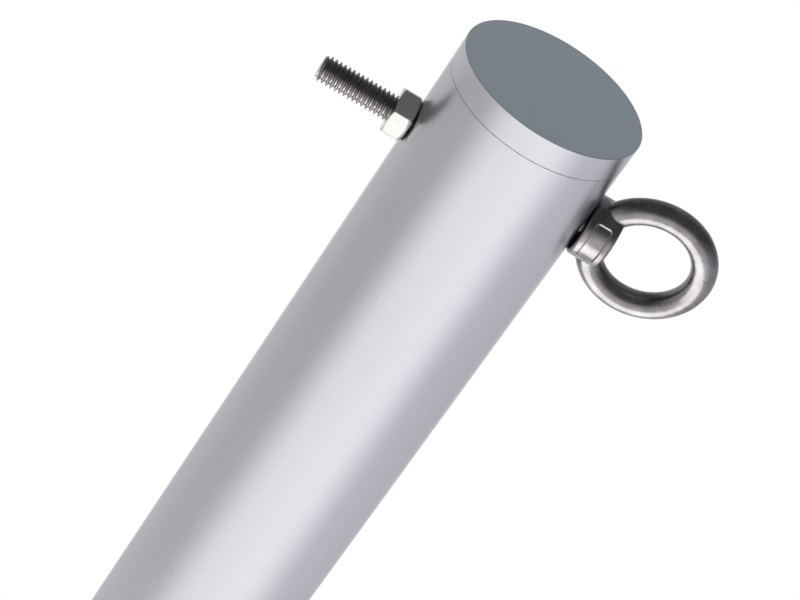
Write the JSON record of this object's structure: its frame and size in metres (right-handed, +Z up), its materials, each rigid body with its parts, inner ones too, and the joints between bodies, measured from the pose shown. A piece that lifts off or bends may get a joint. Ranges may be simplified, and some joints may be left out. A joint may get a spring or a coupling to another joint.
{
  "type": "shade sail post",
  "caption": "Round aluminium tube post with a flush end cap and an eye bolt through its top for the corner of a shade sail.",
  "frame": {"origin": "centre of the tube's foot, at ground level on the tube's axis", "axes": "+Z up along the tube's axis, +X the way the eye points, towards the sail"},
  "size_m": [0.1582, 0.07, 2.5],
  "materials": {
    "tube": "satin anodised",
    "cap": "matt turned face",
    "eye_bolt": "satin stainless forging",
    "nut": "bright stainless"
  },
  "bodies": {
    "root": {"mast_tube": "tube", "end_cap": "cap", "eye_bolt": "eye_bolt", "hex_nut": "nut"}
  },
  "joints": []
}
